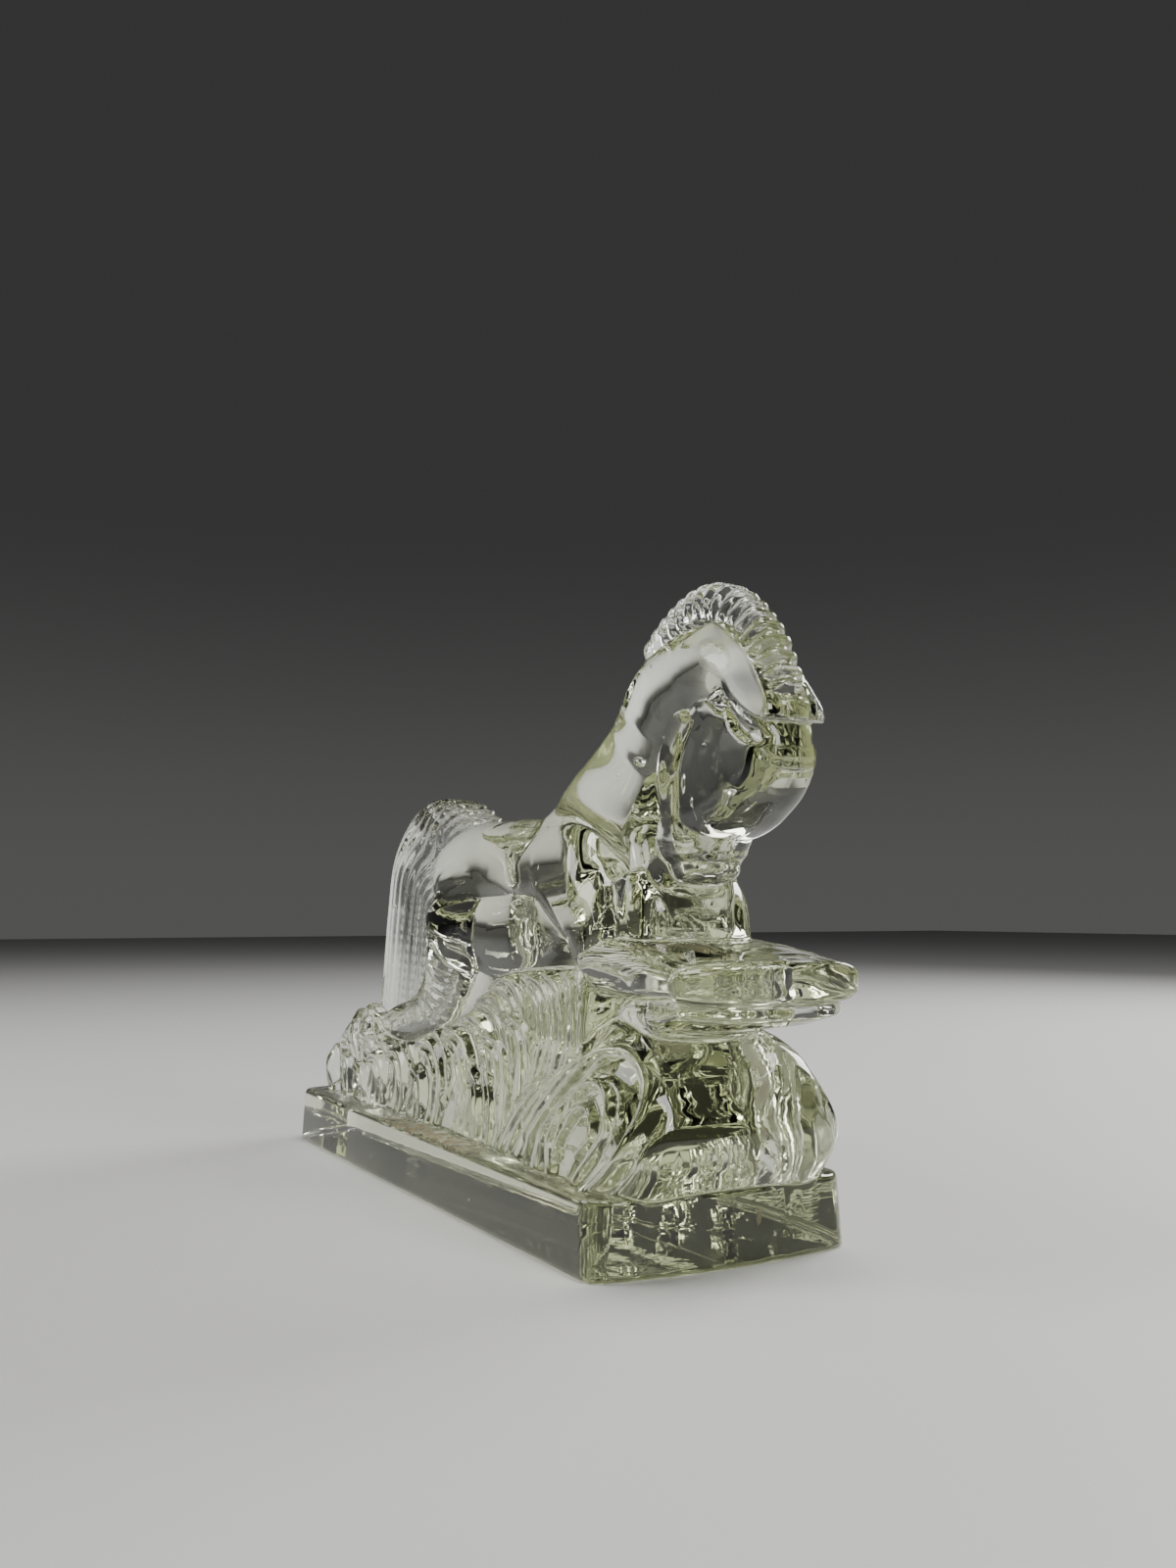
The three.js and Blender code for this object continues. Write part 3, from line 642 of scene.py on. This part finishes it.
class Block:
    """Signed distances on a grid over the near half of the casting, negative in the glass."""

    def __init__(self, low, high):
        self.x = np.arange(low[0], high[0] + CELL, CELL)
        self.y = np.arange(0, high[1] + CELL, CELL)
        self.z = np.arange(low[2], high[2] + CELL, CELL)
        self.field = np.full((len(self.x), len(self.y), len(self.z)), FAR, np.float32)

    def region(self, form, room):
        """Part of the grid that a form's box and the room round it cover."""
        cuts = []
        for axis, values in enumerate((self.x, self.y, self.z)):
            first = np.searchsorted(values, form.box[2 * axis] - room)
            last = np.searchsorted(values, form.box[2 * axis + 1] + room)
            cuts.append(slice(int(first), int(last)))
        return tuple(cuts)

    def distance(self, form, cuts):
        return form.distance(self.x[cuts[0]][:, None], self.y[cuts[1]], self.z[cuts[2]][None, :])

    def add(self, form, blend):
        cuts = self.region(form, ADD_ROOM + blend)
        self.field[cuts] = soft_min(self.field[cuts], self.distance(form, cuts), blend)

    def cut(self, form, blend):
        cuts = self.region(form, CUT_ROOM + blend)
        self.field[cuts] = -soft_min(-self.field[cuts], self.distance(form, cuts), blend)

    def whole(self):
        """Both halves, and the grid's lowest corner."""
        field = np.concatenate([self.field[:, :0:-1, :], self.field], axis=1)
        return field, np.array([self.x[0], -self.y[-1], self.z[0]])


def sheet_table():
    """Sheet of the surface on each edge of a cell, for every pattern of corners inside the glass."""
    ends = []
    for axis in range(3):
        b, c = (axis + 1) % 3, (axis + 2) % 3
        for rest in range(4):
            low = (rest & 1) << b | (rest >> 1) << c
            ends.append((low, low | 1 << axis))
    table = np.zeros((256, 12), int)
    for pattern in range(256):
        sheet = list(range(12))
        crossed = [e for e, (low, high) in enumerate(ends) if (pattern >> low ^ pattern >> high) & 1]
        for axis, level in ((axis, level) for axis in range(3) for level in (0, 1)):
            side = [e for e in crossed if all(end >> axis & 1 == level for end in ends[e])]
            for e in side:
                for f in side:
                    shared = set(ends[e]) & set(ends[f])
                    if len(side) == 2 or any(pattern >> end & 1 for end in shared):
                        sheet = [sheet[e] if k == sheet[f] else k for k in sheet]
        names = sorted({sheet[e] for e in crossed})
        for e in crossed:
            table[pattern, e] = names.index(sheet[e])
    return table


class Surface:
    """Smooth surface where a field of distances is zero, from cubic splines through the grid."""

    def __init__(self, field, low):
        self.field = field
        self.low = low
        eased = field
        for axis in range(3):
            wide = np.pad(eased, [(1, 1) if a == axis else (0, 0) for a in range(3)], mode="edge")
            count = wide.shape[axis]
            before, here, after = (np.take(wide, np.arange(i, count - 2 + i), axis) for i in range(3))
            eased = (before + 4 * here + after) / 6
        self.eased = eased

    def sample(self, points):
        """Distance and its slope at points in millimetres."""
        place = (points - self.low) / CELL
        base = np.clip(np.floor(place).astype(int), 1, np.array(self.field.shape) - 3)
        t = place - base
        weight = np.stack([(1 - t) ** 3, 3 * t**3 - 6 * t**2 + 4, -3 * t**3 + 3 * t**2 + 3 * t + 1, t**3]) / 6
        slope = np.stack([-((1 - t) ** 2), 3 * t**2 - 4 * t, -3 * t**2 + 2 * t + 1, t**2]) / 2
        value = np.zeros(len(points))
        gradient = np.zeros((len(points), 3))
        for i in range(4):
            for j in range(4):
                for k in range(4):
                    f = self.field[base[:, 0] + i - 1, base[:, 1] + j - 1, base[:, 2] + k - 1]
                    value += f * weight[i, :, 0] * weight[j, :, 1] * weight[k, :, 2]
                    gradient[:, 0] += f * slope[i, :, 0] * weight[j, :, 1] * weight[k, :, 2]
                    gradient[:, 1] += f * weight[i, :, 0] * slope[j, :, 1] * weight[k, :, 2]
                    gradient[:, 2] += f * weight[i, :, 0] * weight[j, :, 1] * slope[k, :, 2]
        return value, gradient / CELL

    def settle(self, points, rounds):
        """Moves points onto the surface and gives its normals there."""
        for _ in range(rounds):
            value, gradient = self.sample(points)
            step = value[:, None] * gradient / np.maximum((gradient**2).sum(1), 0.05)[:, None]
            length = np.maximum(np.linalg.norm(step, axis=1), 1e-9)[:, None]
            points = points - step * np.minimum(1, 0.5 * CELL / length)
        gradient = self.sample(points)[1]
        return points, gradient / np.maximum(np.linalg.norm(gradient, axis=1), 1e-9)[:, None]

    def net(self):
        """Points and four-cornered faces of a net over the surface, one point for each sheet in a cell."""
        table = sheet_table()
        inside = np.pad((self.eased < 0).astype(int), 1)[1:, 1:, 1:]
        wide, deep, tall = self.eased.shape
        pattern = sum(inside[i : i + wide, j : j + deep, k : k + tall] << (i + 2 * j + 4 * k)
                      for i in (0, 1) for j in (0, 1) for k in (0, 1))
        rings, spots = [], []
        for axis in range(3):
            count = self.eased.shape[axis]
            lower = np.take(self.eased, np.arange(count - 1), axis)
            upper = np.take(self.eased, np.arange(1, count), axis)
            at = np.argwhere((lower < 0) != (upper < 0))
            low, high = lower[tuple(at.T)], upper[tuple(at.T)]
            spot = at.astype(float)
            spot[:, axis] += low / (low - high)
            b, c = (axis + 1) % 3, (axis + 2) % 3
            corners = []
            for step_b, step_c in ((0, 0), (1, 0), (1, 1), (0, 1)):
                cell = at.copy()
                cell[:, b] -= step_b
                cell[:, c] -= step_c
                sheet = table[pattern[tuple(cell.T)], 4 * axis + step_b + 2 * step_c]
                corners.append(np.ravel_multi_index(cell.T, self.eased.shape) * 4 + sheet)
            ring = np.stack(corners, 1)
            ring[low >= 0] = ring[low >= 0][:, ::-1]
            rings.append(ring)
            spots.append(spot)
        rings, spots = np.concatenate(rings), np.concatenate(spots)
        _, index = np.unique(rings, return_inverse=True)
        flat = index.ravel()
        share = np.bincount(flat)
        points = np.stack([np.bincount(flat, np.repeat(spots[:, k], 4)) / share for k in range(3)], 1)
        return self.low + points * CELL, index.reshape(rings.shape)


def cast_glass(sizes):
    """The whole casting as a field of distances."""
    relief, notch, flute = sizes.relief / MM, sizes.mane_notch / MM, sizes.tail_flute / MM
    half = PLINTH_LENGTH / 2 + PLINTH_BOW
    block = Block([-half - MARGIN, 0, -MARGIN], [FRONT + MARGIN, PLINTH_WIDTH / 2 + MARGIN, TOP + MARGIN])
    block.add(swept(BARREL, 2.5), 0)
    block.add(swept(BELLY, 2.5), 1.0)
    block.add(swept(NECK_ROOT, 2.3), 4)
    block.add(swept(THROAT, 3), 2)
    block.add(swept(CHEST, 2.2), 2)
    block.add(slab(SHOULDER, SHOULDER_HALF, 8), 1.2)
    block.add(swept(NECK, 2.4), 1.4)
    block.add(swept(PECTORAL, 2.4), 0.8)
    block.add(swept(UPPER_ARM, 2.4), 1.2)
    block.add(swept(HEAD, 3.3), 1.0)
    block.add(swept(JAW, 3.6), 0.8)
    block.add(swept(MUZZLE, 3), 0.8)
    block.add(swept(THIGH, 2.4), 2.0)
    block.add(swept(STAND, 3), 1.5)
    block.add(swept(FORELEG, 4), 1.4)
    block.add(swept(ELBOW, 2.4), 0.8)
    block.add(swept(HOOF, 3.4), 0.8)
    block.cut(swept(LEAF_GROOVE, 2), 0.6)
    block.add(leaf_form(), 0.5)
    block.add(mane_form(notch), 0.8)
    block.add(tail_form(flute), 1.0)
    block.add(slab(WAVE_CORE, [(0, WAVE_CORE_HALF), (100, WAVE_CORE_HALF)], 4), 1.5)
    block.add(wave_form(relief), 0.8)
    block.add(roll_form(relief), 1.2)
    for petal in PETALS:
        block.add(swept(petal, 2.2), 0.8)
    block.add(plinth_form(), 0.7)
    return Surface(*block.whole())


def mesh_from(name, points, faces):
    mesh = bpy.data.meshes.new(name)
    mesh.from_pydata((points * MM).tolist(), [], faces.tolist())
    mesh.update()
    return mesh


def link(piece):
    bpy.context.scene.collection.objects.link(piece)
    return piece


def thinned(piece, share):
    """Fewer triangles where the surface is flat, applied to the mesh."""
    modifier = piece.modifiers.new("thin", "DECIMATE")
    modifier.ratio = share
    depsgraph = bpy.context.evaluated_depsgraph_get()
    mesh = bpy.data.meshes.new_from_object(piece.evaluated_get(depsgraph))
    piece.modifiers.clear()
    piece.data = mesh


def coordinates(mesh):
    co = np.zeros(len(mesh.vertices) * 3, np.float32)
    mesh.vertices.foreach_get("co", co)
    return co.reshape(-1, 3).astype(float)


class Wire:
    """A shader socket that adds the nodes of an expression written with it."""

    def __init__(self, shader, socket):
        self.shader = shader
        self.socket = socket

    def join(self, other, operation, back=False):
        a, b = (other, self) if back else (self, other)
        return self.shader.add("ShaderNodeMath", {"operation": operation}, {0: a, 1: b}, "Value")

    def __add__(self, other):
        return self.join(other, "ADD")

    __radd__ = __add__

    def __mul__(self, other):
        return self.join(other, "MULTIPLY")

    __rmul__ = __mul__

    def __sub__(self, other):
        return self.join(other, "SUBTRACT")

    def __rsub__(self, other):
        return self.join(other, "SUBTRACT", True)

    def between(self, low, high):
        """0 below low, 1 above high, eased between."""
        return self.shader.add("ShaderNodeMapRange", {"interpolation_type": "SMOOTHSTEP"},
                               {"Value": self, "From Min": low, "From Max": high}, "Result")


class Shader:
    """The nodes of one material or world."""

    def __init__(self, tree):
        self.tree = tree
        tree.nodes.clear()

    def add(self, kind, settings, sockets, out=0):
        """One node of a type with its settings, then the values or links of its sockets."""
        node = self.tree.nodes.new(kind)
        for key, value in settings.items():
            setattr(node, key, value)
        for key, value in sockets.items():
            if isinstance(value, Wire):
                self.tree.links.new(value.socket, node.inputs[key])
            else:
                node.inputs[key].default_value = value
        return Wire(self, node.outputs[out]) if len(node.outputs) else node

    def axes(self, place):
        """The x, y and z of a place."""
        split = self.add("ShaderNodeSeparateXYZ", {}, {"Vector": place}).socket.node
        return [Wire(self, split.outputs[axis]) for axis in "XYZ"]

    def mix(self, share, first, second):
        """Two colours mixed by share."""
        return self.add("ShaderNodeMix", {"data_type": "RGBA"},
                        {"Factor": share, MIX_FIRST: first, MIX_SECOND: second}, MIX_RESULT)

    def noise(self, place, scale, detail=2.0, roughness=0.5):
        return self.add("ShaderNodeTexNoise", {}, {"Vector": place, "Scale": scale, "Detail": detail,
                                                   "Roughness": roughness}, "Fac")


def satin(x, y, z):
    """Roughness of the mould's skin on the plumes, the mane and the leaf, at x, y, z in millimetres."""
    plumes = (y * y).between(24**2, 27**2) * z.between(17.5, 19.5) * (1 - z.between(70, 73))
    dx, dz = x - MANE_CENTRE[0], z - MANE_CENTRE[1]
    mane = (dx * dx + dz * dz).between(27.5**2, 29**2) * z.between(132, 136) * x.between(81, 85)
    level = leaf_level(x, z)
    off = y * y - level * level
    leaf = (1 - (off * off).between(3**2, 8**2)) * z.between(127, 129) * x.between(110, 112)
    return PLUME_SATIN * plumes + MANE_SATIN * mane + LEAF_SATIN * leaf


def old_dirt(shader, place, x, y, z):
    """Share of old dirt along the wave's foot, heaviest at mid length, with the rust mark on the front."""
    at_foot = z.between(16.8, 18.6) * (1 - z.between(19.6, 22.5))
    outside = (y * y).between(28.5**2, 31**2)
    stretch = x.between(-50, 0) * (1 - x.between(20, 60))
    patches = shader.noise(place, 260.0, 4.0, 0.65).between(0.38, 0.58)
    dirt = at_foot * outside * (0.2 + 0.8 * stretch) * patches
    dy, dz = y - RUST_PLACE[0], z - RUST_PLACE[1]
    mark = 1 - (dy * dy * RUST_NARROW + dz * dz).between(RUST_RADII[0] ** 2, RUST_RADII[1] ** 2)
    grains = shader.noise(place, 420.0, 3.0, 0.6).between(0.4, 0.5)
    mark = mark * x.between(105, 108) * grains
    return 1 - (1 - dirt) * (1 - mark)


def glass_material(sizes):
    """Clear glass, green in its depth, with satin relief, faint wear, old dirt, a rust mark and the seam."""
    material = bpy.data.materials.new("clear_pressed_glass")
    material.use_nodes = True
    shader = Shader(material.node_tree)
    place = shader.add("ShaderNodeTexCoord", {}, {}, "Object")
    x, y, z = (axis * (1 / MM) for axis in shader.axes(place))
    wear = shader.noise(place, 900.0, 3.0, 0.6).between(0.55, 0.8)
    cloud = shader.noise(place, 38.0, 3.0, 0.55).between(0.45, 0.7)
    dirt = old_dirt(shader, place, x, y, z)
    roughness = SHEEN + WEAR_SATIN * wear * cloud + satin(x, y, z) + DIRT_ROUGHNESS * dirt
    colour = shader.mix(dirt * 0.85, (0.985, 0.995, 0.975, 1), (*sizes.dirt, 1))
    seam = 1 - (y * y).between(0.12**2, 0.45**2)
    ripple = shader.noise(place, 120.0) + 4 * seam
    normal = shader.add("ShaderNodeBump", {}, {
        "Strength": 0.05, "Distance": 0.0006, "Height": ripple}, "Normal")
    glass = shader.add("ShaderNodeBsdfPrincipled", {}, {
        "Base Color": colour, "Roughness": roughness, "IOR": sizes.refraction,
        "Transmission Weight": 1.0, "Normal": normal}, "BSDF")
    depth = shader.add("ShaderNodeVolumeAbsorption", {}, {
        "Color": (*sizes.glass_tint, 1), "Density": TINT_DENSITY})
    shader.add("ShaderNodeOutputMaterial", {}, {"Surface": glass, "Volume": depth})
    return material


def floor_material(colour):
    """Plain matt floor, its colour hardly clouded."""
    material = bpy.data.materials.new("plain_floor")
    material.use_nodes = True
    shader = Shader(material.node_tree)
    place = shader.add("ShaderNodeTexCoord", {}, {}, "Object")
    cloud = shader.noise(place, 3.0)
    paint = shader.mix(cloud, (*colour, 1), (*(0.96 * c for c in colour), 1))
    paper = shader.add("ShaderNodeBsdfPrincipled", {}, {"Base Color": paint, "Roughness": 0.6}, "BSDF")
    shader.add("ShaderNodeOutputMaterial", {}, {"Surface": paper})
    return material


def studio_air():
    """World light, paler at the level of the floor and darker overhead."""
    world = bpy.data.worlds.new("studio")
    bpy.context.scene.world = world
    world.use_nodes = True
    shader = Shader(world.node_tree)
    ray = shader.add("ShaderNodeTexCoord", {}, {}, "Generated")
    rise = shader.axes(ray)[2]
    tone = shader.mix(rise.between(0.0, 0.3), (0.09, 0.09, 0.088, 1), (0.04, 0.04, 0.04, 1))
    light = shader.add("ShaderNodeBackground", {}, {"Color": tone, "Strength": 1.0})
    shader.add("ShaderNodeOutputWorld", {}, {"Surface": light})


def soft_light(name, place, aim, width, height, power):
    """Rectangular light at a place, turned to an aim."""
    light = bpy.data.lights.new(name, "AREA")
    light.shape = "RECTANGLE"
    light.size = width
    light.size_y = height
    light.energy = power
    lamp = link(bpy.data.objects.new(name, light))
    lamp.location = place
    lamp.rotation_euler = (Vector(aim) - Vector(place)).to_track_quat("-Z", "Y").to_euler()


class GLASSHORSE_OT_casting(bpy.types.Operator):
    """Casts the horse, its wave and its plinth in clear glass"""

    bl_idname = "glasshorse.casting"
    bl_label = "Cast the horse"

    def execute(self, context):
        sizes = context.scene.glass_casting
        surface = cast_glass(sizes)
        points, faces = surface.net()
        points, _ = surface.settle(points, 3)
        mesh = mesh_from("glass_horse_on_wave", points, faces)
        piece = link(bpy.data.objects.new("glass_horse_on_wave", mesh))
        triangles = 2 * len(faces)
        if triangles > MOST_TRIANGLES:
            thinned(piece, MOST_TRIANGLES / triangles)
        mesh = piece.data
        points, normals = surface.settle(coordinates(mesh) / MM, 2)
        mesh.vertices.foreach_set("co", (points * MM).ravel())
        mesh.update()
        if len(mesh.vertices) < FEWEST_POINTS:
            raise RuntimeError("the casting came out empty")
        normals = bubbles(mesh, surface, normals)
        mesh.shade_smooth()
        mesh.normals_split_custom_set_from_vertices(normals.tolist())
        mesh.materials.append(glass_material(sizes))
        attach(piece, BODY)
        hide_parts(NODE)
        return {"FINISHED"}


class GLASSHORSE_OT_stage(bpy.types.Operator):
    """Lays the floor and sets the lights and the camera"""

    bl_idname = "glasshorse.stage"
    bl_label = "Set the stage"

    def execute(self, context):
        sizes = context.scene.glass_stage
        corners = FLOOR_REACH * np.array([(-1, -1, 0), (1, -1, 0), (1, 1, 0), (-1, 1, 0)]) / MM
        floor = link(bpy.data.objects.new("floor", mesh_from("floor", corners, np.array([[0, 1, 2, 3]]))))
        floor.data.materials.append(floor_material(sizes.floor_colour))
        studio_air()
        for light in LIGHTS:
            soft_light(*light)
        lens = bpy.data.cameras.new("photograph")
        lens.sensor_width = 36
        lens.sensor_fit = "AUTO"
        lens.lens = sizes.camera_lens
        lens.clip_start = 0.01
        camera = link(bpy.data.objects.new("photograph", lens))
        camera.location = sizes.camera_place
        camera.rotation_euler = (math.pi / 2 + sizes.camera_tilt, 0, sizes.camera_turn)
        context.scene.camera = camera
        return {"FINISHED"}


class GLASSHORSE_PT_panel(bpy.types.Panel):
    """Sizes of the glass horse and the steps that build it"""

    bl_idname = "GLASSHORSE_PT_panel"
    bl_label = "Glass horse"
    bl_space_type = "VIEW_3D"
    bl_region_type = "UI"
    bl_category = "Glass horse"

    def draw(self, context):
        for group, operator in (("glass_casting", "glasshorse.casting"), ("glass_stage", "glasshorse.stage")):
            settings = getattr(context.scene, group)
            for name in settings.__annotations__:
                self.layout.prop(settings, name)
            self.layout.operator(operator)


CLASSES = (CastingSizes, StageSizes, GLASSHORSE_OT_casting, GLASSHORSE_OT_stage, GLASSHORSE_PT_panel)


def register():
    for cls in CLASSES:
        bpy.utils.register_class(cls)
    bpy.types.Scene.glass_casting = bpy.props.PointerProperty(type=CastingSizes)
    bpy.types.Scene.glass_stage = bpy.props.PointerProperty(type=StageSizes)


def unregister():
    del bpy.types.Scene.glass_stage
    del bpy.types.Scene.glass_casting
    for cls in reversed(CLASSES):
        bpy.utils.unregister_class(cls)


def main():
    register()
    bpy.ops.glasshorse.casting()
    bpy.ops.glasshorse.stage()


if __name__ == "__main__":
    main()
